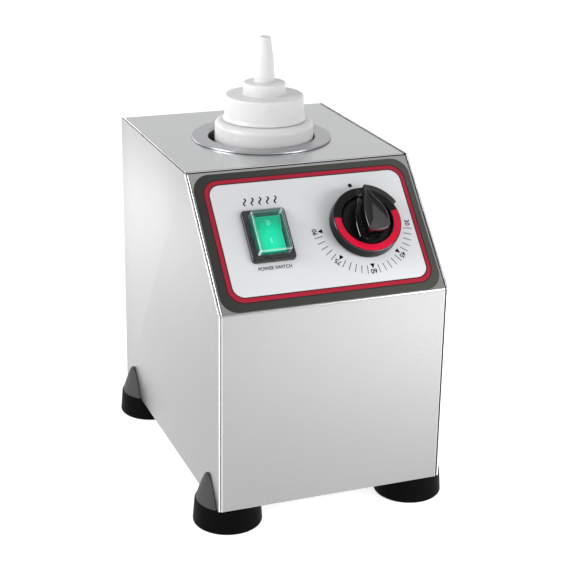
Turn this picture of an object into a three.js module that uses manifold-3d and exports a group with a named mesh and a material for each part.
// Counter-top warmer for one squeeze bottle of cheese sauce.
// Millimetres, +Z up, front of the case towards -Y. The case's front face is y = 0 and its lower edge z = 0
// while the pieces are made; the finished group stands on z = 0, centred on its own box.
import * as THREE from 'three';
import { mergeVertices } from 'three/addons/utils/BufferGeometryUtils.js';
import Module from 'manifold-3d';

const wasm = await Module();
wasm.setup();

// Case
const CASE_WIDTH = 160;
const CASE_DEPTH = 232;
const CASE_HEIGHT = 215.3;
const SLOPE_RUN = 72.1;
const SLOPE_RISE = 74.8;
const SHEET = 1.0;
const SIDE_SHEET = 1.2;
const GAP = 0.3;
const EDGE_RADIUS = 1.2;
const CORNER_RADIUS = 2;
const SLOPE_BEND_RADIUS = 3;
const RETURN_FLANGE = 10;
const DECK_FLANGE = 12;
const DECK_SEAM = 0.9;

// Well and what surrounds it
const WELL_RADIUS = 38.3;
const WELL_FORWARD_OF_MIDDLE = 5.5;
const WELL_FLOOR_HEIGHT = 42;
const WELL_WALL = 1;
const WELL_LIP_RADIUS = 1.6;
const RING_WIDTH = 12;
const RING_THICKNESS = 1.2;
const HEATER_HEIGHT = 60;
const HEATER_THICKNESS = 2.5;
const HEATER_ABOVE_FLOOR = 12;
const INSULATION_THICKNESS = 9;
const INSULATION_SLOT = 32;
const LUG_THICKNESS = 1.6;
const LUG_SPACING = 4;
const LUG_REACH = 10;
const LUG_LENGTH = 24;
const CLAMP_SCREW_RADIUS = 1.5;
const CLAMP_SCREW_LENGTH = 16;
const CUTOUT_RADIUS = 8;
const CUTOUT_HEIGHT = 7;
const CUTOUT_TAB_LENGTH = 7;
const BULB_RADIUS = 3;
const BULB_LENGTH = 42;
const CAPILLARY_RADIUS = 0.9;

// Bottle
const BOTTLE_CLEARANCE = 2.8;
const BOTTLE_OFFSET = 2;
const BOTTLE_WALL = 1.5;
const BOTTLE_SHOULDER_RISE = 8.5;
const CAP_STEP = 6.8;
const CAP_BASE_RISE = 14.7;
const CAP_HEIGHT = 16.7;
const CAP_WALL = 2;
const SEAL_THICKNESS = 0.8;
const COLLAR_RADIUS = 15.2;
const COLLAR_HEIGHT = 8.8;
const NOZZLE_BASE_RADIUS = 7;
const NOZZLE_TIP_RADIUS = 4.2;
const NOZZLE_HEIGHT = 32.4;
const NOZZLE_BORE_RADIUS = 1.8;
const THREAD_CLEARANCE = 0.4;

// Feet
const FOOT_INSET_X = 12.3;
const FOOT_INSET_Y = 21.5;
const FOOT_HEIGHT = 18;
const FOOT_RADIUS = 22.6;
const FOOT_FLARE = 1.4;
const FOOT_RECESS_DEPTH = 9;
const FOOT_BOSS_RADIUS = 7;
const EAR_HEIGHT = 19.3;
const EAR_TIP_RADIUS = 13.6;

// Control panel, measured on the slope
const OVERLAY_SIDE_MARGIN = 2.5;
const OVERLAY_LOW_MARGIN = 1.2;
const OVERLAY_TOP_MARGIN = 3;
const OVERLAY_THICKNESS = 0.4;
const OVERLAY_RADIUS = 12;
const KNOB_FROM_RIGHT = 47;
const KNOB_ABOVE_MIDDLE = 0.4;
const KNOB_RADIUS = 24;
const KNOB_LIFT = 1.4;
const KNOB_RING_HEIGHT = 10.5;
const KNOB_RING_WIDTH = 6.2;
const KNOB_RECESS = 2.5;
const KNOB_GRIP_HEIGHT = 24;
const KNOB_TAB_REACH = 2.4;
const ARC_HEIGHT = 0.6;
const SHAFT_RADIUS = 3;
const SHAFT_DEPTH = 11;
const SHAFT_SOCKET_RISE = 4;
const THERMOSTAT_DEPTH = 30;
const THERMOSTAT_PLATE = 40;
const THERMOSTAT_BODY = 35;
const THERMOSTAT_SCREW_REACH = 14;
const SWITCH_FROM_LEFT = 44.75;
const BEZEL_WIDTH = 30.7;
const BEZEL_LENGTH = 37.9;
const BEZEL_TOP = 3.5;
const COVER_WIDTH = 22.4;
const COVER_LENGTH = 29.7;
const COVER_TOP = 11;
const COVER_WALL = 0.8;
const ROCKER_MARGIN = 2.8;
const ROCKER_CLEARANCE = 0.4;
const ROCKER_TILT = 8;
const SWITCH_DEPTH = 20;
const ROCKER_PIVOT_HEIGHT = 1.6;
const BLADE_PITCH = 9;
const BLADE_WIDTH = 6.2;
const BLADE_THICKNESS = 0.8;
const BLADE_LENGTH = 8;

// Fasteners and mains entry
const SCREW_RADIUS = 1.9;
const SCREW_HEAD_RADIUS = 4;
const SCREW_HEAD_HEIGHT = 2.2;
const SEAM_SCREW_FROM_SIDE = 20;
const SEAM_SCREW_LENGTH = 6;
const SCREW_SLOT_WIDTH = 1.2;
const SCREW_SLOT_LENGTH = 4.6;
const EARTH_SCREW_LENGTH = 12;
const EARTH_FROM_REAR = 24;
const NUT_FLATS = 7;
const NUT_HEIGHT = 3;
const VENT_WIDTH = 3.6;
const VENT_LENGTH = 26;
const VENT_PITCH = 9;
const VENT_COUNT = 9;
const FLOOR_VENT_LENGTH = 46;
const FLOOR_VENT_PITCH = 11;
const FLOOR_VENT_COUNT = 5;
const GLAND_RADIUS = 7.7;
const CORD_HOLE_RADIUS = 4;
const GLAND_FLATS = 22;
const GLAND_HEX_HEIGHT = 6;
const GLAND_THREAD_LENGTH = 10;
const GLAND_NECK_RADIUS = 6;
const GLAND_NECK_LENGTH = 14;
const GLAND_CAP_RADIUS = 9.4;
const GLAND_CAP_LENGTH = 12;
const GLAND_NUT_HEIGHT = 4;
const GLAND_FROM_SIDE = 32;
const GLAND_HEIGHT = 32;
const BLOCK_FROM_REAR = 52;
const BLOCK_WIDTH = 34;
const BLOCK_LENGTH = 18;
const BLOCK_HEIGHT = 14;
const BLOCK_PITCH = 10;
const BLOCK_BORE = 4;
const WIRE_RADIUS = 1.1;
const WIRE_CLEARANCE = 12;

// Facets round a full circle
const WIDE_FACETS = 36;
const ROUND_FACETS = 28;
const SMALL_FACETS = 12;

// Worked-out places
const halfWidth = CASE_WIDTH / 2;
const innerHalf = halfWidth - GAP;
const sideOuter = halfWidth + SIDE_SHEET;
const frontHeight = CASE_HEIGHT - SLOPE_RISE;
const slopeAngle = Math.atan2(SLOPE_RISE, SLOPE_RUN);
const slopeLength = Math.hypot(SLOPE_RISE, SLOPE_RUN);
const lapDepth = SHEET + GAP;
const wellY = (SLOPE_RUN + CASE_DEPTH) / 2 - WELL_FORWARD_OF_MIDDLE;
const ringRadius = WELL_RADIUS + RING_WIDTH;
const ringBottom = CASE_HEIGHT + GAP;
const ringTop = ringBottom + RING_THICKNESS;
const linerRadius = WELL_RADIUS + WELL_WALL;
const linerBottom = WELL_FLOOR_HEIGHT - WELL_WALL;
const knobX = halfWidth - KNOB_FROM_RIGHT;
const knobUp = slopeLength / 2 + KNOB_ABOVE_MIDDLE;
const switchX = SWITCH_FROM_LEFT - halfWidth;
const switchUp = slopeLength / 2;
const rockerWidth = COVER_WIDTH - 2 * ROCKER_MARGIN;
const rockerLength = COVER_LENGTH - 2 * ROCKER_MARGIN;
const overlayTop = GAP + OVERLAY_THICKNESS;
const plateTop = lapDepth + SHEET;
const screwHole = SCREW_RADIUS + GAP;
const glandX = -halfWidth + GLAND_FROM_SIDE;
const earthX = -FLOOR_VENT_PITCH * (FLOOR_VENT_COUNT + 1) / 2;
const earthY = CASE_DEPTH - EARTH_FROM_REAR;

const steel = { color: 0xc4c5c7, metalness: 0.9, roughness: 0.35 };
const finishes = {
  case: steel,
  liner: { color: 0xb4b5b7, metalness: 0.9, roughness: 0.3 },
  overlay: { color: 0xe8e9ec, metalness: 0.1, roughness: 0.4 },
  black: { color: 0x0f0f10, metalness: 0, roughness: 0.35 },
  red: { color: 0xd8102a, metalness: 0, roughness: 0.4 },
  rubber: { color: 0x1c1c1c, metalness: 0, roughness: 0.75 },
  green: { color: 0x10d8a0, metalness: 0, roughness: 0.25 },
  clear: { color: 0xe6f2ee, metalness: 0, roughness: 0.1 },
  bottle: { color: 0xf2f2f0, metalness: 0, roughness: 0.4 },
  zinc: { color: 0xa8aaac, metalness: 0.8, roughness: 0.4 },
  brass: { color: 0xb89a4a, metalness: 0.9, roughness: 0.4 },
  copper: { color: 0xb06a3c, metalness: 0.9, roughness: 0.4 },
  wool: { color: 0xd8d2b8, metalness: 0, roughness: 0.95 },
  wire: { color: 0x7a3020, metalness: 0, roughness: 0.6 },
};

const group = new THREE.Group();
const slopeGroup = new THREE.Group();
slopeGroup.position.set(0, 0, frontHeight);
slopeGroup.rotation.x = slopeAngle;
group.add(slopeGroup);
slopeGroup.updateMatrix();
const slopeMatrix = slopeGroup.matrix.clone();

// Solids -------------------------------------------------------------------------------------------------

function toSolid(geometry) {
  const bare = geometry.clone();
  for (const name of ['normal', 'uv']) bare.deleteAttribute(name);
  const merged = mergeVertices(bare, 1e-4);
  const index = merged.index.array;
  const kept = [];
  for (let i = 0; i < index.length; i += 3) {
    const [a, b, c] = [index[i], index[i + 1], index[i + 2]];
    if (a !== b && b !== c && c !== a) kept.push(a, b, c);
  }
  const mesh = new wasm.Mesh({
    numProp: 3,
    vertProperties: new Float32Array(merged.attributes.position.array),
    triVerts: new Uint32Array(kept),
  });
  mesh.merge();
  return new wasm.Manifold(mesh);
}

function toGeometry(solid) {
  const mesh = solid.getMesh();
  const geometry = new THREE.BufferGeometry();
  geometry.setAttribute('position', new THREE.BufferAttribute(mesh.vertProperties, 3));
  geometry.setIndex(new THREE.BufferAttribute(mesh.triVerts, 1));
  geometry.computeVertexNormals();
  return geometry;
}

function joined(first, ...rest) {
  return rest.reduce((sum, solid) => sum.add(solid), first);
}

function cut(first, ...rest) {
  return rest.reduce((left, solid) => left.subtract(solid), first);
}

function box(x0, x1, y0, y1, z0, z1) {
  const geometry = new THREE.BoxGeometry(x1 - x0, y1 - y0, z1 - z0);
  geometry.translate((x0 + x1) / 2, (y0 + y1) / 2, (z0 + z1) / 2);
  return toSolid(geometry);
}

// Round solid about a vertical axis from [radius, height] pairs. A profile off the axis closes on itself.
function turned(profile, segments, x = 0, y = 0) {
  let points = profile.map(([r, z]) => new THREE.Vector2(r, z));
  if (THREE.ShapeUtils.area(points) < 0) points = points.reverse();
  const first = points[0];
  const last = points[points.length - 1];
  if (first.x > 1e-6 || last.x > 1e-6) points.push(first.clone());
  const geometry = new THREE.LatheGeometry(points, segments);
  geometry.rotateX(Math.PI / 2);
  geometry.translate(x, y, 0);
  return toSolid(geometry);
}

function disc(radius, z0, z1, segments, x = 0, y = 0) {
  return turned([[0, z0], [radius, z0], [radius, z1], [0, z1]], segments, x, y);
}

function tube(inner, outer, z0, z1, segments, x = 0, y = 0) {
  return turned([[inner, z0], [outer, z0], [outer, z1], [inner, z1]], segments, x, y);
}

function extruded(points, z0, z1, bevel = 0, bevelSegments = 2) {
  const shape = new THREE.Shape(points);
  const geometry = new THREE.ExtrudeGeometry(shape, {
    depth: z1 - z0 - 2 * bevel,
    bevelEnabled: bevel > 0,
    bevelThickness: bevel,
    bevelSize: bevel,
    bevelOffset: -bevel,
    bevelSegments,
  });
  geometry.translate(0, 0, z0 + bevel);
  return toSolid(geometry);
}

function moved(solid, matrix) {
  return toSolid(toGeometry(solid).applyMatrix4(matrix));
}

const onSlope = (solid) => moved(solid, slopeMatrix);
const alongX = new THREE.Matrix4().makeBasis(
  new THREE.Vector3(0, 1, 0), new THREE.Vector3(0, 0, 1), new THREE.Vector3(1, 0, 0));
const alongY = new THREE.Matrix4().makeRotationX(Math.PI / 2);

function arcPoints(cx, cy, radius, fromDegrees, toDegrees, steps) {
  return Array.from({ length: steps + 1 }, (_, i) => {
    const angle = THREE.MathUtils.degToRad(fromDegrees + ((toDegrees - fromDegrees) * i) / steps);
    return [cx + radius * Math.cos(angle), cy + radius * Math.sin(angle)];
  });
}

const asVectors = (pairs) => pairs.map(([x, y]) => new THREE.Vector2(x, y));

function roundedRectangle(width, length, radius, cx = 0, cy = 0, steps = 3) {
  const [w, l] = [width / 2 - radius, length / 2 - radius];
  return asVectors([
    ...arcPoints(cx + w, cy + l, radius, 0, 90, steps),
    ...arcPoints(cx - w, cy + l, radius, 90, 180, steps),
    ...arcPoints(cx - w, cy - l, radius, 180, 270, steps),
    ...arcPoints(cx + w, cy - l, radius, 270, 360, steps),
  ]);
}

// Rounds the corners of a polygon given as vectors, with one radius for each corner.
function roundedPolygon(corners, radii, steps = 3) {
  return corners.flatMap((corner, i) => {
    const before = corners[(i + corners.length - 1) % corners.length].clone().sub(corner).normalize();
    const after = corners[(i + 1) % corners.length].clone().sub(corner).normalize();
    const half = Math.acos(THREE.MathUtils.clamp(before.dot(after), -1, 1)) / 2;
    const centre = before.clone().add(after).normalize().multiplyScalar(radii[i] / Math.sin(half));
    const reach = radii[i] / Math.tan(half);
    const start = before.clone().multiplyScalar(reach).sub(centre);
    const end = after.clone().multiplyScalar(reach).sub(centre);
    const turn = Math.atan2(start.cross(end), start.dot(end));
    return Array.from({ length: steps + 1 }, (_, k) => start.clone()
      .rotateAround(new THREE.Vector2(), (turn * k) / steps).add(centre).add(corner));
  });
}

// Case outline -------------------------------------------------------------------------------------------

function crossing(a, b) {
  const t = ((b.at.x - a.at.x) * b.along.y - (b.at.y - a.at.y) * b.along.x)
    / (a.along.x * b.along.y - a.along.y * b.along.x);
  return a.along.clone().multiplyScalar(t).add(a.at);
}

function slopePoint(up, out) {
  const along = new THREE.Vector2(Math.cos(slopeAngle), Math.sin(slopeAngle));
  const normal = new THREE.Vector2(-along.y, along.x);
  return along.multiplyScalar(up).addScaledVector(normal, out).add(new THREE.Vector2(0, frontHeight));
}

// Corners of the side outline in (y, z), each edge moved in by its own amount.
function sideCorners({ front = 0, slope = 0, top = 0, rear = 0, bottom = 0 } = {}) {
  const line = (y, z, dy, dz) => ({ at: new THREE.Vector2(y, z), along: new THREE.Vector2(dy, dz) });
  const foot = slopePoint(0, -slope);
  const edges = [
    line(front, 0, 0, 1),
    line(0, bottom, 1, 0),
    line(CASE_DEPTH - rear, 0, 0, 1),
    line(0, CASE_HEIGHT - top, 1, 0),
    line(foot.x, foot.y, SLOPE_RUN, SLOPE_RISE),
  ];
  return edges.map((edge, i) => crossing(edge, edges[(i + 1) % edges.length]));
}

function caseBlock(insets, half, bevel, shrink = 0) {
  const radii = [CORNER_RADIUS, CORNER_RADIUS, CORNER_RADIUS, CORNER_RADIUS, SLOPE_BEND_RADIUS];
  const outline = roundedPolygon(sideCorners(insets), radii.map((radius) => radius - shrink));
  return moved(extruded(outline, -half, half, bevel, 2), alongX);
}

function caseShell(insets) {
  const inner = Object.fromEntries(['front', 'slope', 'top', 'rear', 'bottom']
    .map((edge) => [edge, (insets[edge] ?? 0) + SHEET]));
  return cut(caseBlock(insets, innerHalf, EDGE_RADIUS), caseBlock(inner, innerHalf - SHEET, 0, SHEET));
}

function sideRegion(corners, half) {
  return moved(extruded(corners, -half, half), alongX);
}

// Nodes --------------------------------------------------------------------------------------------------

function add(name, solid, finish, parent = group) {
  const mesh = new THREE.Mesh(toGeometry(solid), new THREE.MeshStandardMaterial(finishes[finish]));
  mesh.name = name;
  parent.add(mesh);
}

const spread = (count, pitch) => Array.from({ length: count }, (_, i) => (i - (count - 1) / 2) * pitch);

// A pan-head screw standing head down on z = 0, its shank going up.
function screw(shankLength) {
  const recess = extruded(roundedRectangle(SCREW_SLOT_WIDTH, SCREW_SLOT_LENGTH, 0.2, 0, 0, 1),
    -SCREW_HEAD_HEIGHT - 1, -SCREW_HEAD_HEIGHT / 2);
  const body = turned([
    [0, -SCREW_HEAD_HEIGHT], [SCREW_HEAD_RADIUS * 0.7, -SCREW_HEAD_HEIGHT],
    [SCREW_HEAD_RADIUS, -SCREW_HEAD_HEIGHT * 0.5], [SCREW_HEAD_RADIUS, 0], [SCREW_RADIUS, 0],
    [SCREW_RADIUS, shankLength], [0, shankLength]], SMALL_FACETS);
  return cut(body, recess);
}

const at = (x, y, z) => new THREE.Matrix4().makeTranslation(x, y, z);

function buildCase() {
  const knobHole = disc(SHAFT_RADIUS + 2, -5, 5, 20, knobX, knobUp);
  const mountHoles = [-1, 1].map((side) =>
    disc(screwHole, -5, 5, SMALL_FACETS, knobX + side * THERMOSTAT_SCREW_REACH, knobUp));
  const switchHole = extruded(roundedRectangle(COVER_WIDTH, COVER_LENGTH + 1, 1, switchX, switchUp), -5, 5);
  const panelHoles = [knobHole, ...mountHoles, switchHole].map(onSlope);

  const inner = sideCorners({ front: RETURN_FLANGE, slope: RETURN_FLANGE });
  const frontRegion = sideRegion([
    new THREE.Vector2(-5, -5), new THREE.Vector2(RETURN_FLANGE, -5),
    inner[4], slopePoint(slopeLength - DECK_SEAM, -RETURN_FLANGE),
    slopePoint(slopeLength - DECK_SEAM, 5), slopePoint(-5, 5), new THREE.Vector2(-5, frontHeight - 5),
  ], innerHalf + 1);
  add('front_panel', cut(caseShell({}).intersect(frontRegion), ...panelHoles), 'case');

  const lapHalf = innerHalf - SHEET - GAP;
  const sideStart = SLOPE_RUN + RETURN_FLANGE + SHEET;
  const sideEnd = CASE_DEPTH - 2 * lapDepth;
  const lowTop = CASE_HEIGHT - DECK_FLANGE;
  const lowHeight = lapDepth + DECK_FLANGE;
  const deckRegion = joined(
    box(-halfWidth, halfWidth, 0, CASE_DEPTH, CASE_HEIGHT - SHEET - 0.01, CASE_HEIGHT + 1),
    sideRegion([slopePoint(slopeLength - DECK_FLANGE, 0),
      slopePoint(slopeLength - DECK_FLANGE, -2 * lapDepth),
      slopePoint(slopeLength, -2 * lapDepth), slopePoint(slopeLength + 2, 0)], lapHalf),
    box(-halfWidth, halfWidth, sideStart, sideEnd, lowTop, CASE_HEIGHT),
    box(-halfWidth, halfWidth, CASE_DEPTH - SHEET - 0.01, CASE_DEPTH, lowTop, CASE_HEIGHT),
  );
  const wellHole = disc(linerRadius + GAP, lowTop, CASE_HEIGHT + 5, WIDE_FACETS, 0, wellY);
  const seamScrews = [lowTop + DECK_FLANGE / 3, lowHeight - DECK_FLANGE / 3].flatMap((z) =>
    [-1, 1].map((side) =>
      at(side * (halfWidth - SEAM_SCREW_FROM_SIDE), CASE_DEPTH + GAP, z).multiply(alongY)));
  const seamHoles = seamScrews.map((place) => moved(disc(screwHole, -4, 4, SMALL_FACETS), place));
  add('top_deck', cut(caseShell({ slope: lapDepth }).intersect(deckRegion), wellHole, ...seamHoles), 'case');

  const lowSide = RETURN_FLANGE + lapDepth;
  const bottomRegion = joined(
    box(-halfWidth, halfWidth, lowSide, CASE_DEPTH, 0, plateTop + 0.01),
    box(-lapHalf, lapHalf, 0, lowSide + 1, 0, plateTop + 0.01),
    box(-lapHalf, lapHalf, 0, lapDepth + SHEET + 0.01, 0, lowHeight),
    box(-halfWidth, halfWidth, lowSide, sideEnd, 0, lowHeight),
    box(-halfWidth, halfWidth, CASE_DEPTH - SHEET - 0.01, CASE_DEPTH, 0, lowHeight),
  );
  const floorVents = [-1, 1].flatMap((side) => spread(FLOOR_VENT_COUNT, FLOOR_VENT_PITCH).map((offset) =>
    extruded(roundedRectangle(VENT_WIDTH, FLOOR_VENT_LENGTH, VENT_WIDTH * 0.45, offset,
      wellY + side * FLOOR_VENT_LENGTH * 0.7, 2), 0, 5)));
  const footHoles = footCentres().map(({ x, y }) => disc(screwHole, 0, 5, SMALL_FACETS, x, y));
  const earthHole = disc(screwHole, 0, 5, SMALL_FACETS, earthX, earthY);
  add('bottom_plate', cut(caseShell({ front: lapDepth, bottom: lapDepth }).intersect(bottomRegion),
    ...floorVents, ...footHoles, earthHole, ...seamHoles), 'case');

  for (const [name, side] of [['left', -1], ['right', 1]]) {
    const plate = extruded(roundedPolygon(sideCorners(), [1, 1, 1, 1, SLOPE_BEND_RADIUS]), 0,
      SIDE_SHEET, 0.4, 2);
    const place = side > 0 ? halfWidth : -sideOuter;
    add(`side_panel_${name}`, moved(plate, at(place, 0, 0).multiply(alongX)), 'case');
  }

  const rearY = CASE_DEPTH - SHEET - GAP;
  const ventLow = lowTop - 2 * VENT_LENGTH;
  const vents = spread(VENT_COUNT, VENT_PITCH).map((offset) => box(offset - VENT_WIDTH / 2,
    offset + VENT_WIDTH / 2, rearY - 3, rearY + 3, ventLow, ventLow + VENT_LENGTH));
  const glandHole = moved(disc(GLAND_RADIUS + GAP, -5, 5, ROUND_FACETS),
    at(glandX, rearY, GLAND_HEIGHT).multiply(alongY));
  add('rear_panel', cut(box(-innerHalf, innerHalf, rearY - SHEET, rearY, plateTop + GAP,
    CASE_HEIGHT - SHEET - GAP), ...vents, glandHole, ...seamHoles), 'case');
  for (const [i, place] of seamScrews.entries()) {
    add(`rear_screw_${i + 1}`, moved(screw(SEAM_SCREW_LENGTH), place), 'zinc');
  }
}

// Feet ---------------------------------------------------------------------------------------------------

function footCentres() {
  return [-1, 1].flatMap((side) => [FOOT_INSET_Y, CASE_DEPTH - FOOT_INSET_Y]
    .map((y) => ({ x: side * (halfWidth - FOOT_INSET_X), y, side })));
}

function buildFeet() {
  const footBottom = -FOOT_HEIGHT;
  const seat = footBottom + FOOT_RECESS_DEPTH;
  const baseRadius = FOOT_RADIUS + FOOT_FLARE;
  for (const [i, { x, y, side }] of footCentres().entries()) {
    const puck = turned([
      [0, footBottom], ...arcPoints(baseRadius - 1.6, footBottom + 1.6, 1.6, -90, 0, 3),
      [FOOT_RADIUS, -1.4], [FOOT_RADIUS - 0.5, -GAP], [0, -GAP]], ROUND_FACETS, x, y);
    const boss = disc(FOOT_BOSS_RADIUS, -1, SHEET, 20, x, y);
    const cone = turned([[0, -2], [FOOT_RADIUS - 0.5, -1], [FOOT_RADIUS - 0.6, 0],
      [EAR_TIP_RADIUS + 0.4, EAR_HEIGHT - 1],
      [EAR_TIP_RADIUS - 1.2, EAR_HEIGHT], [0, EAR_HEIGHT]], ROUND_FACETS, x, y);
    const outside = sideOuter + GAP;
    const earSide = side > 0 ? box(outside, outside + 40, y - 40, y + 40, -2, 60)
      : box(-outside - 40, -outside, y - 40, y + 40, -2, 60);
    const recess = disc(SCREW_HEAD_RADIUS + 1, footBottom - 1, seat, 20, x, y);
    const hole = disc(screwHole, footBottom, 5, SMALL_FACETS, x, y);
    add(`foot_${i + 1}`, cut(joined(puck, boss, cone.intersect(earSide)), recess, hole), 'rubber');
    add(`foot_screw_${i + 1}`, moved(screw(plateTop + 4 - seat + GAP), at(x, y, seat - GAP)), 'zinc');
  }
}

// Well, heater and sensor --------------------------------------------------------------------------------

function buildWell() {
  const lip = WELL_LIP_RADIUS;
  add('well_liner', turned([
    [0, linerBottom], ...arcPoints(linerRadius - 3, linerBottom + 3, 3, -90, 0, 3),
    [linerRadius, ringBottom], [ringRadius, ringBottom], [ringRadius, ringTop - 0.4],
    [ringRadius - 0.4, ringTop],
    ...arcPoints(WELL_RADIUS + lip, ringTop - lip, lip, 90, 180, 4),
    ...arcPoints(WELL_RADIUS - 2, WELL_FLOOR_HEIGHT + 2, 2, 0, -90, 3), [0, WELL_FLOOR_HEIGHT]],
    WIDE_FACETS, 0, wellY),
    'liner');
  const underDeck = CASE_HEIGHT - SHEET - GAP;
  add('well_retaining_ring', tube(linerRadius + GAP, ringRadius, underDeck - 1.5, underDeck,
    ROUND_FACETS, 0, wellY),
    'zinc');

  const heaterInner = linerRadius + GAP;
  const heaterOuter = heaterInner + HEATER_THICKNESS;
  const heaterLow = WELL_FLOOR_HEIGHT + HEATER_ABOVE_FLOOR;
  const heaterHigh = heaterLow + HEATER_HEIGHT;
  const clampY = wellY + heaterOuter + LUG_REACH * 0.6;
  const clampZ = heaterLow + HEATER_HEIGHT / 2;
  const lugInner = LUG_SPACING / 2;
  const lugs = [-lugInner - LUG_THICKNESS, lugInner].map((x) => box(x, x + LUG_THICKNESS,
    wellY + heaterInner + 0.6, wellY + heaterOuter + LUG_REACH, clampZ - LUG_LENGTH / 2,
    clampZ + LUG_LENGTH / 2));
  const clampHole = moved(disc(CLAMP_SCREW_RADIUS + GAP, -10, 10, SMALL_FACETS),
    at(0, clampY, clampZ).multiply(alongX));
  const band = cut(tube(heaterInner, heaterOuter, heaterLow, heaterHigh, ROUND_FACETS, 0, wellY),
    box(-lugInner, lugInner, wellY, wellY + heaterOuter + 5, 0, CASE_HEIGHT));
  add('heater_band', cut(joined(band, ...lugs), clampHole), 'zinc');
  const headSeat = -lugInner - LUG_THICKNESS - GAP;
  const clampScrew = turned([[0, -CLAMP_SCREW_LENGTH / 2], [CLAMP_SCREW_RADIUS * 2, -CLAMP_SCREW_LENGTH / 2],
    [CLAMP_SCREW_RADIUS * 2, headSeat], [CLAMP_SCREW_RADIUS, headSeat],
    [CLAMP_SCREW_RADIUS, CLAMP_SCREW_LENGTH / 2], [0, CLAMP_SCREW_LENGTH / 2]], SMALL_FACETS);
  add('heater_clamp_screw', moved(clampScrew, at(0, clampY, clampZ).multiply(alongX)), 'zinc');

  const woolInner = heaterOuter + GAP;
  const woolOuter = woolInner + INSULATION_THICKNESS;
  const slot = box(-INSULATION_SLOT / 2, INSULATION_SLOT / 2, wellY, wellY + woolOuter + 5, 0, CASE_HEIGHT);
  add('insulation_sleeve', cut(tube(woolInner, woolOuter, WELL_FLOOR_HEIGHT + 4,
    CASE_HEIGHT - DECK_FLANGE - 2,
    ROUND_FACETS, 0, wellY), slot), 'wool');

  const cutoutTop = linerBottom - GAP;
  const cutoutLow = cutoutTop - CUTOUT_HEIGHT;
  const tabs = [-CUTOUT_RADIUS + 1, CUTOUT_RADIUS - 2.5].map((x) =>
    box(x, x + 1.5, wellY - 3, wellY + 3, cutoutLow - CUTOUT_TAB_LENGTH, cutoutLow + 1));
  add('over_temperature_cutout', joined(disc(CUTOUT_RADIUS, cutoutLow, cutoutTop, 24, 0, wellY),
    ...tabs), 'zinc');

  const bulbY = wellY + linerRadius + GAP + BULB_RADIUS;
  const bulbMiddle = (heaterHigh + CASE_HEIGHT - DECK_FLANGE) / 2;
  const bulbLow = bulbMiddle - BULB_LENGTH / 2;
  const bulbHigh = bulbMiddle + BULB_LENGTH / 2;
  add('sensor_bulb', turned([[0, bulbLow], [BULB_RADIUS - 0.8, bulbLow], [BULB_RADIUS, bulbLow + 0.8],
    [BULB_RADIUS, bulbHigh - 2], [1.4, bulbHigh], [0, bulbHigh]], 16, 0, bulbY), 'copper');
  const clearOfWool = woolOuter + 8;
  const thermostatBack = slopePlace(knobX, knobUp, -THERMOSTAT_DEPTH - GAP);
  const thermostatLead = slopePlace(knobX, knobUp, -THERMOSTAT_DEPTH - 9);
  const around = [80, 45, 10, -25].map((degrees) => {
    const angle = THREE.MathUtils.degToRad(degrees);
    return new THREE.Vector3(clearOfWool * Math.cos(angle), wellY + clearOfWool * Math.sin(angle),
      bulbHigh + 8);
  });
  add('capillary_tube', sweptTube([
    new THREE.Vector3(0, bulbY, bulbHigh + GAP), new THREE.Vector3(0, bulbY + 1, bulbHigh + 5), ...around,
    thermostatLead, thermostatBack], CAPILLARY_RADIUS, 30), 'copper');
}

const slopePlace = (x, up, out) => new THREE.Vector3(x, up, out).applyMatrix4(slopeMatrix);

function sweptTube(points, radius, steps) {
  const section = new THREE.Shape(asVectors(arcPoints(0, 0, radius, 0, 315, 7)));
  const path = new THREE.CatmullRomCurve3(points, false, 'centripetal');
  return toSolid(new THREE.ExtrudeGeometry(section, { steps, extrudePath: path, bevelEnabled: false }));
}

// Thermostat and knob ------------------------------------------------------------------------------------

function buildThermostat() {
  const underPanel = -SHEET - GAP;
  const plate = extruded(roundedRectangle(THERMOSTAT_PLATE, THERMOSTAT_PLATE, 3, knobX, knobUp, 2),
    underPanel - 1.5, underPanel);
  const body = extruded(roundedRectangle(THERMOSTAT_BODY, THERMOSTAT_BODY, 3, knobX, knobUp, 2),
    -THERMOSTAT_DEPTH, underPanel - 1.4, 0.8, 1);
  const nose = tube(SHAFT_RADIUS + GAP, SHAFT_RADIUS + 1.6, underPanel - 1, GAP, 20, knobX, knobUp);
  const bore = disc(SHAFT_RADIUS + GAP, underPanel - SHAFT_DEPTH - 1, 5, 20, knobX, knobUp);
  const mountHoles = [-1, 1].map((side) =>
    disc(screwHole, -10, 0, SMALL_FACETS, knobX + side * THERMOSTAT_SCREW_REACH, knobUp));
  add('thermostat_body', cut(joined(plate, body, nose), bore, ...mountHoles), 'zinc', slopeGroup);
  for (const [name, side] of [['left', -1], ['right', 1]]) {
    const headLow = overlayTop - 0.2;
    const shank = turned([[0, -8], [SCREW_RADIUS, -8], [SCREW_RADIUS, GAP], [SCREW_HEAD_RADIUS - 0.8, GAP],
      [SCREW_HEAD_RADIUS - 0.8, headLow + 1], [0, headLow + 1.4]], SMALL_FACETS,
      knobX + side * THERMOSTAT_SCREW_REACH, knobUp);
    add(`thermostat_screw_${name}`, shank, 'zinc', slopeGroup);
  }
  const shaftTop = KNOB_RING_HEIGHT + SHAFT_SOCKET_RISE;
  const shaft = disc(SHAFT_RADIUS, underPanel - SHAFT_DEPTH, shaftTop, 20, knobX, knobUp);
  const flat = box(knobX - 5, knobX + 5, knobUp - 5, knobUp - SHAFT_RADIUS * 0.5, 4, shaftTop + 1);
  add('thermostat_shaft', cut(shaft, flat), 'zinc', slopeGroup);
}

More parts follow.
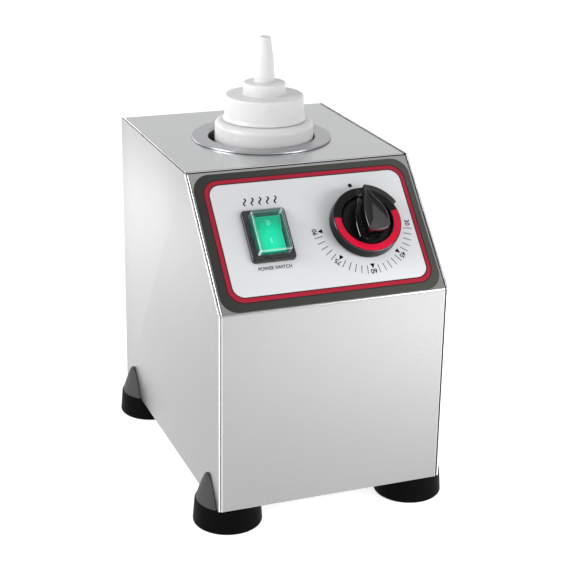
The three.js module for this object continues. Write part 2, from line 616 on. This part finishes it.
function buildKnob() {
  const low = overlayTop + KNOB_LIFT;
  const ringInner = KNOB_RADIUS - KNOB_RING_WIDTH;
  const floor = KNOB_RING_HEIGHT - KNOB_RECESS;
  const skirt = turned([
    [KNOB_RADIUS - 2, low], [KNOB_RADIUS + 0.3, low], [KNOB_RADIUS, KNOB_RING_HEIGHT - 1],
    ...arcPoints(KNOB_RADIUS - 1, KNOB_RING_HEIGHT - 1, 1, 30, 90, 2),
    [ringInner + 0.5, KNOB_RING_HEIGHT], [ringInner - 0.5, floor], [0, floor], [0, floor - 2],
    [KNOB_RADIUS - 3, floor - 2]], WIDE_FACETS, knobX, knobUp);
  // The grip's outline in shares of the ring's inner radius, its tip up the slope.
  const gripOutline = asVectors([
    [0.02, 0.8], [-0.13, 0.53], [-0.24, 0.25], [-0.32, -0.08], [-0.35, -0.4], [-0.34, -0.7], [-0.3, -0.87],
    [-0.17, -0.95], [0.06, -0.97], [0.28, -0.96], [0.45, -0.88], [0.54, -0.73], [0.57, -0.45], [0.55, -0.22],
    [0.47, 0.03], [0.34, 0.24], [0.18, 0.5]])
    .map((point) => point.multiplyScalar(ringInner).add(new THREE.Vector2(knobX, knobUp)));
  const grip = extruded(gripOutline, floor - 1, KNOB_GRIP_HEIGHT, 0.8, 2);
  const tab = extruded(asVectors([
    ...arcPoints(knobX, knobUp, KNOB_RADIUS - 1.5, 28, 82, 10),
    ...arcPoints(knobX, knobUp, KNOB_RADIUS + KNOB_TAB_REACH, 82, 28, 10)]), low, KNOB_RING_HEIGHT - 0.3);
  const hub = disc(SHAFT_RADIUS + 3.2, low + 0.5, floor, 24, knobX, knobUp);
  const boreTop = KNOB_RING_HEIGHT + SHAFT_SOCKET_RISE + GAP;
  const bore = cut(disc(SHAFT_RADIUS + GAP, low - 2, boreTop, 20, knobX, knobUp),
    box(knobX - 5, knobX + 5, knobUp - 6, knobUp - SHAFT_RADIUS * 0.5 - GAP, 4, KNOB_GRIP_HEIGHT));
  const arcShape = (inner, outer, from, to) => asVectors([
    ...arcPoints(knobX, knobUp, inner, from, to, 30), ...arcPoints(knobX, knobUp, outer, to, from, 30)]);
  const arcInner = ringInner + 0.6;
  const arcOuter = KNOB_RADIUS - 0.8;
  const groove = extruded(arcShape(arcInner - GAP, arcOuter + GAP, 170, 374), KNOB_RING_HEIGHT - ARC_HEIGHT,
    KNOB_RING_HEIGHT + 1);
  add('knob', cut(joined(skirt, grip, tab, hub), bore, groove), 'black', slopeGroup);
  add('knob_red_arc', extruded(arcShape(arcInner, arcOuter, 171, 373), KNOB_RING_HEIGHT - ARC_HEIGHT + GAP,
    KNOB_RING_HEIGHT + 0.1), 'red', slopeGroup);
}

// Overlay and switch -------------------------------------------------------------------------------------

function buildOverlay() {
  const width = CASE_WIDTH - 2 * OVERLAY_SIDE_MARGIN;
  const height = slopeLength - OVERLAY_LOW_MARGIN - OVERLAY_TOP_MARGIN;
  const middle = OVERLAY_LOW_MARGIN + height / 2;
  const film = extruded(roundedRectangle(width, height, OVERLAY_RADIUS, 0, middle, 8), GAP, overlayTop);
  const shaftHole = disc(SHAFT_RADIUS + 2, -1, 3, 24, knobX, knobUp);
  const screwHeads = [-1, 1].map((side) => disc(SCREW_HEAD_RADIUS, -1, 3, 16,
    knobX + side * THERMOSTAT_SCREW_REACH,
    knobUp));
  const window = extruded(roundedRectangle(COVER_WIDTH, COVER_LENGTH + 1, 1, switchX, switchUp), -1, 3);
  add('control_overlay', cut(film, shaftHole, ...screwHeads, window), 'overlay', slopeGroup);
}

function buildSwitch() {
  const bezelLow = overlayTop + GAP;
  const bodyWidth = COVER_WIDTH - 2 * GAP;
  const bodyLength = COVER_LENGTH + 1 - 2 * GAP;
  const bezel = extruded(roundedRectangle(BEZEL_WIDTH, BEZEL_LENGTH, 2.5, switchX, switchUp), bezelLow,
    BEZEL_TOP, 0.8, 1);
  const body = extruded(roundedRectangle(bodyWidth, bodyLength, 1, switchX, switchUp, 2), -SWITCH_DEPTH,
    bezelLow + 1);
  const window = extruded(roundedRectangle(rockerWidth + 2 * ROCKER_CLEARANCE,
    rockerLength + 4 * ROCKER_CLEARANCE,
    0.8, switchX, switchUp, 2), -9, BEZEL_TOP + 1);
  const cavity = extruded(roundedRectangle(rockerWidth - 1, rockerLength - 2, 0.8, switchX, switchUp, 2),
    -SWITCH_DEPTH + 1.5, -8);
  const blades = [-1, 0, 1].map((row) => ({ row, up: switchUp + row * BLADE_PITCH }));
  const [bladeX, bladeY] = [BLADE_WIDTH / 2, BLADE_THICKNESS / 2];
  const bladeSlots = blades.map(({ up }) => box(switchX - bladeX - GAP, switchX + bladeX + GAP,
    up - bladeY - GAP, up + bladeY + GAP, -SWITCH_DEPTH - 1, -SWITCH_DEPTH + 3));
  add('switch_housing', cut(joined(bezel, body), window, cavity, ...bladeSlots), 'black', slopeGroup);
  for (const { row, up } of blades) {
    add(`switch_blade_${row + 2}`, box(switchX - bladeX, switchX + bladeX, up - bladeY, up + bladeY,
      -SWITCH_DEPTH - BLADE_LENGTH, -SWITCH_DEPTH + 2.5), 'brass', slopeGroup);
  }

  const half = rockerLength / 2;
  const section = asVectors([[-half, 1.4], [-half, 4.6], [-half + 0.8, 5.3], [0, 4],
    [half - 0.8, 5.3], [half, 4.6],
    [half, 1.4], [half - 3, -1.6], [3, -3.4], [-3, -3.4], [-half + 3, -1.6]]);
  const rocker = moved(extruded(section, -rockerWidth / 2, rockerWidth / 2, 0.5, 2), alongX);
  const tilted = at(switchX, switchUp, ROCKER_PIVOT_HEIGHT)
    .multiply(new THREE.Matrix4().makeRotationX(THREE.MathUtils.degToRad(ROCKER_TILT)));
  add('switch_rocker', moved(rocker, tilted), 'green', slopeGroup);
  add('switch_lamp', turned([[0, -16], [2, -16], [2, -10.5], [0, -8.8]], 16, switchX, switchUp),
    'clear', slopeGroup);

  const coverLow = BEZEL_TOP + GAP;
  const shell = extruded(roundedRectangle(COVER_WIDTH, COVER_LENGTH, 1.8, switchX, switchUp),
    coverLow - 2, COVER_TOP, 1.2, 2);
  const hollow = extruded(roundedRectangle(COVER_WIDTH - 2 * COVER_WALL, COVER_LENGTH - 2 * COVER_WALL, 1.2,
    switchX, switchUp, 3), coverLow - 4, COVER_TOP - COVER_WALL);
  const below = box(switchX - 40, switchX + 40, switchUp - 40, switchUp + 40, coverLow - 5, coverLow);
  add('switch_cover', cut(shell, hollow, below), 'clear', slopeGroup);
}

// Mains entry and wiring ---------------------------------------------------------------------------------

function hexagon(acrossFlats, z0, z1, bevel = 0) {
  return extruded(asVectors(arcPoints(0, 0, acrossFlats / Math.sqrt(3), 0, 300, 5)), z0, z1, bevel, 1);
}

function buildMains() {
  // The gland lies along Y: its own z = 0 is the rear panel's outer face and +z points into the case.
  const rearFace = CASE_DEPTH - SHEET - GAP;
  const onRear = at(glandX, rearFace, GLAND_HEIGHT).multiply(alongY);
  const passage = disc(CORD_HOLE_RADIUS, -40, 40, ROUND_FACETS);
  const body = joined(hexagon(GLAND_FLATS, -GLAND_HEX_HEIGHT, -GAP, 0.5),
    disc(GLAND_RADIUS, -1, GLAND_THREAD_LENGTH, ROUND_FACETS),
    disc(GLAND_NECK_RADIUS, -GLAND_NECK_LENGTH, -GLAND_HEX_HEIGHT + 1, ROUND_FACETS));
  add('cable_gland_body', moved(cut(body, passage), onRear), 'black');
  const capStart = -GLAND_HEX_HEIGHT - GAP;
  const capEnd = capStart - GLAND_CAP_LENGTH;
  const capInner = GLAND_NECK_RADIUS + GAP;
  const capRoof = -GLAND_NECK_LENGTH - GAP - 0.1;
  add('cable_gland_cap', moved(turned([[capInner, capStart], [GLAND_CAP_RADIUS, capStart],
    [GLAND_CAP_RADIUS, capEnd + 6], ...arcPoints(GLAND_CAP_RADIUS - 3, capEnd + 3, 3, 10, -60, 3),
    [CORD_HOLE_RADIUS + 1, capEnd], [CORD_HOLE_RADIUS + 0.2, capEnd], [CORD_HOLE_RADIUS + 0.2, capRoof],
    [capInner, capRoof]], ROUND_FACETS), onRear), 'black');
  const nut = cut(hexagon(GLAND_FLATS, SHEET + GAP, SHEET + GAP + GLAND_NUT_HEIGHT, 0.4),
    disc(GLAND_RADIUS + GAP, -5, 20, ROUND_FACETS));
  add('cable_gland_locknut', moved(nut, onRear), 'black');

  const floorTop = plateTop + GAP;
  const blockY = CASE_DEPTH - BLOCK_FROM_REAR;
  const blockFront = blockY - BLOCK_LENGTH / 2;
  const boreMiddle = floorTop + BLOCK_HEIGHT * 0.43;
  const boreHalf = BLOCK_BORE / 2;
  const block = extruded(roundedRectangle(BLOCK_WIDTH, BLOCK_LENGTH, 1, glandX, blockY, 1), floorTop,
    floorTop + BLOCK_HEIGHT, 0.5, 1);
  const bores = spread(3, BLOCK_PITCH).map((offset) => glandX + offset).flatMap((x) => [
    box(x - boreHalf, x + boreHalf, blockFront - 3, blockFront + BLOCK_LENGTH + 3,
      boreMiddle - boreHalf, boreMiddle + boreHalf),
    disc(boreHalf, boreMiddle, floorTop + BLOCK_HEIGHT + 3, SMALL_FACETS, x, blockY + BLOCK_LENGTH * 0.22),
  ]);
  add('terminal_block', cut(block, ...bores), 'bottle');
  add('earth_stud', moved(screw(EARTH_SCREW_LENGTH), at(earthX, earthY, lapDepth - GAP)), 'brass');
  add('earth_nut', cut(moved(hexagon(NUT_FLATS, floorTop, floorTop + NUT_HEIGHT, 0.3),
    at(earthX, earthY, 0)),
    disc(screwHole, 0, 20, SMALL_FACETS, earthX, earthY)), 'brass');

  const vector = (x, y, z) => new THREE.Vector3(x, y, z);
  const beyond = (point, y, z) => point.clone().add(vector(0, y, z));
  const blade = (row) => slopePlace(switchX, switchUp + row * BLADE_PITCH,
    -SWITCH_DEPTH - BLADE_LENGTH - GAP - WIRE_RADIUS);
  const mouth = (column) => vector(glandX + column * BLOCK_PITCH, blockFront - GAP, boreMiddle);
  const thermostatEnd = slopePlace(knobX - 10, knobUp - 8, -THERMOSTAT_DEPTH - GAP);
  const thermostatLead = slopePlace(knobX - 10, knobUp - 8, -THERMOSTAT_DEPTH - 9);
  const betweenBoth = slopePlace((switchX + knobX) / 2, switchUp - WIRE_CLEARANCE, -THERMOSTAT_DEPTH - 18);
  const cutoutEnd = vector(-CUTOUT_RADIUS + 1.8, wellY,
    linerBottom - 2 * GAP - CUTOUT_HEIGHT - CUTOUT_TAB_LENGTH);
  const besideWell = glandX - WIRE_CLEARANCE;
  const besideBlock = glandX + BLOCK_WIDTH / 2 + 4;
  add('wire_live', sweptTube([mouth(-1), beyond(mouth(-1), -14, 0), vector(besideWell, wellY - 26, 12),
    vector(besideWell, SLOPE_RUN, 30), beyond(blade(-1), 8, -22), blade(-1)], WIRE_RADIUS, 22), 'wire');
  add('wire_switch_to_thermostat', sweptTube([blade(0), beyond(blade(0), 7, -12), betweenBoth,
    thermostatLead, thermostatEnd], WIRE_RADIUS, 18), 'wire');
  add('wire_neutral', sweptTube([mouth(0), beyond(mouth(0), -16, 0), beyond(cutoutEnd, 0, -9).setX(-22),
    beyond(cutoutEnd, 0, -8).setX(-10), cutoutEnd], WIRE_RADIUS, 16), 'wire');
  add('wire_earth', sweptTube([mouth(1), beyond(mouth(1), -6, 1), vector(besideBlock, blockFront - 4, 12),
    vector(besideBlock, blockY, 12), vector(besideBlock, blockFront + BLOCK_LENGTH + 2, 10),
    vector(earthX, earthY - NUT_FLATS * 0.8, 8)], WIRE_RADIUS, 18), 'wire');
}

// Bottle -------------------------------------------------------------------------------------------------

function buildBottle() {
  const radius = WELL_RADIUS - BOTTLE_CLEARANCE;
  const base = WELL_FLOOR_HEIGHT + GAP;
  const shoulder = CASE_HEIGHT + BOTTLE_SHOULDER_RISE;
  const capLow = CASE_HEIGHT + CAP_BASE_RISE;
  const capHigh = capLow + CAP_HEIGHT;
  const capRadius = radius - CAP_STEP;
  const neckRadius = capRadius - CAP_WALL - THREAD_CLEARANCE;
  const neckTop = capHigh - CAP_WALL - SEAL_THICKNESS - 2 * GAP;
  const wall = BOTTLE_WALL;
  add('bottle_body', turned([
    [0, base + 1], [radius - 8, base], ...arcPoints(radius - 4, base + 4, 4, -80, 0, 4),
    ...arcPoints(radius - 4, shoulder, 4, 0, 70, 4), [radius - 6, capLow - 1.6],
    [neckRadius + 1.4, capLow - 0.9],
    [neckRadius, capLow - 0.9], [neckRadius, neckTop], [neckRadius - wall, neckTop],
    [neckRadius - wall, capLow - 2.4], ...arcPoints(radius - 4, shoulder, 4 - wall, 70, 0, 3),
    ...arcPoints(radius - 4, base + 4, 4 - wall, 0, -80, 3), [0, base + 1 + wall]], ROUND_FACETS,
    BOTTLE_OFFSET, wellY),
    'bottle');

  const inner = capRadius - CAP_WALL;
  const roof = capHigh - CAP_WALL;
  const collarTop = capHigh + COLLAR_HEIGHT;
  const tip = collarTop + NOZZLE_HEIGHT;
  add('bottle_cap', turned([
    [inner, capLow], [capRadius, capLow], ...arcPoints(capRadius - 1.8, capHigh - 1.2, 1.2, 0, 90, 3),
    [COLLAR_RADIUS + 0.6, capHigh], [COLLAR_RADIUS, capHigh + 0.6],
    ...arcPoints(COLLAR_RADIUS - 1.2, collarTop - 0.9, 0.9, 0, 90, 3), [NOZZLE_BASE_RADIUS + 0.6, collarTop],
    [NOZZLE_BASE_RADIUS, collarTop + 0.6], [NOZZLE_TIP_RADIUS, tip - 2.4],
    ...arcPoints(NOZZLE_TIP_RADIUS - 2, tip - 2, 1.9, 10, 90, 3), [NOZZLE_BORE_RADIUS, tip],
    [NOZZLE_BORE_RADIUS, tip - 4], [NOZZLE_BASE_RADIUS - CAP_WALL, collarTop + 4],
    [NOZZLE_BASE_RADIUS - CAP_WALL, collarTop - 2], [COLLAR_RADIUS - CAP_WALL, collarTop - 2],
    [COLLAR_RADIUS - CAP_WALL, roof], [inner, roof]], ROUND_FACETS, BOTTLE_OFFSET, wellY), 'bottle');
  add('cap_seal', tube(COLLAR_RADIUS, neckRadius, neckTop + GAP, neckTop + GAP + SEAL_THICKNESS,
    ROUND_FACETS,
    BOTTLE_OFFSET, wellY), 'rubber');
}

buildCase();
buildFeet();
buildWell();
buildThermostat();
buildOverlay();
buildKnob();
buildSwitch();
buildMains();
buildBottle();

// Stand the finished group on z = 0, centred on its box.
group.updateMatrixWorld(true);
const bounds = new THREE.Box3().setFromObject(group);
const middle = bounds.getCenter(new THREE.Vector3());
group.position.set(-middle.x, -middle.y, -bounds.min.z);
group.updateMatrixWorld(true);

export default group;
